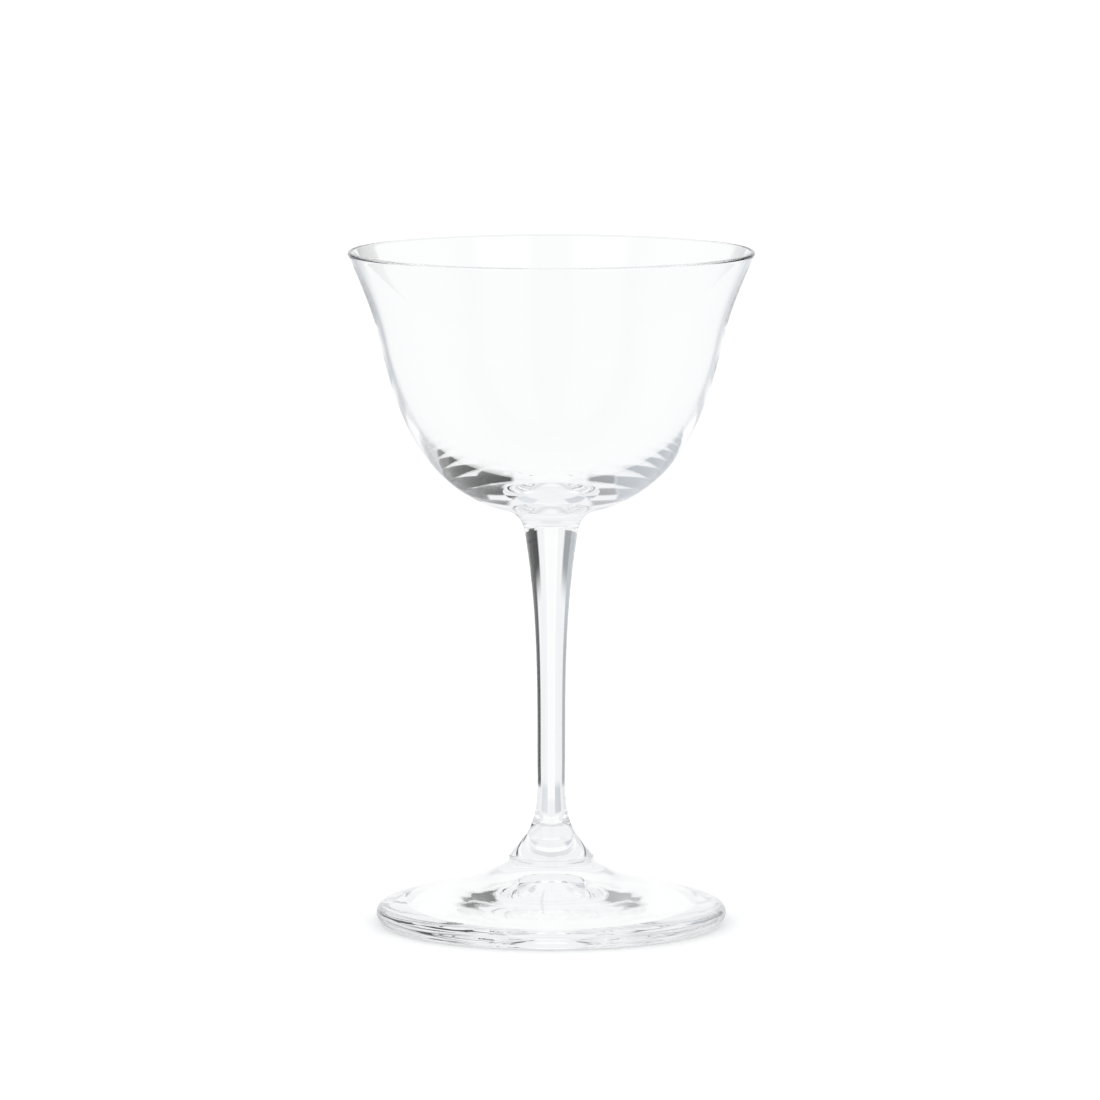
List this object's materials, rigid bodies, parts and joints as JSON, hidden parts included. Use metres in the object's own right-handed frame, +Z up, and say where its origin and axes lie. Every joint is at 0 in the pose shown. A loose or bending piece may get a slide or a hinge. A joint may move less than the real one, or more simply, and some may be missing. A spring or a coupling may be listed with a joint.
{
  "type": "stemmed cocktail glass",
  "caption": "Clear stemmed drinking glass: thin bell bowl with a flared rim, solid drawn stem, conical collar and a domed round foot.",
  "frame": {"origin": "middle of the foot, on the table plane", "axes": "+Z up along the axis of the glass, from the foot to the rim; +X and +Y lie in the table plane and are free, because the glass is round"},
  "size_m": [0.0942, 0.0942, 0.157],
  "materials": {
    "clear_glass": "fire-polished, clear and colourless"
  },
  "bodies": {
    "root": {"bowl": "clear_glass", "stem": "clear_glass", "collar": "clear_glass", "foot": "clear_glass"}
  },
  "joints": []
}
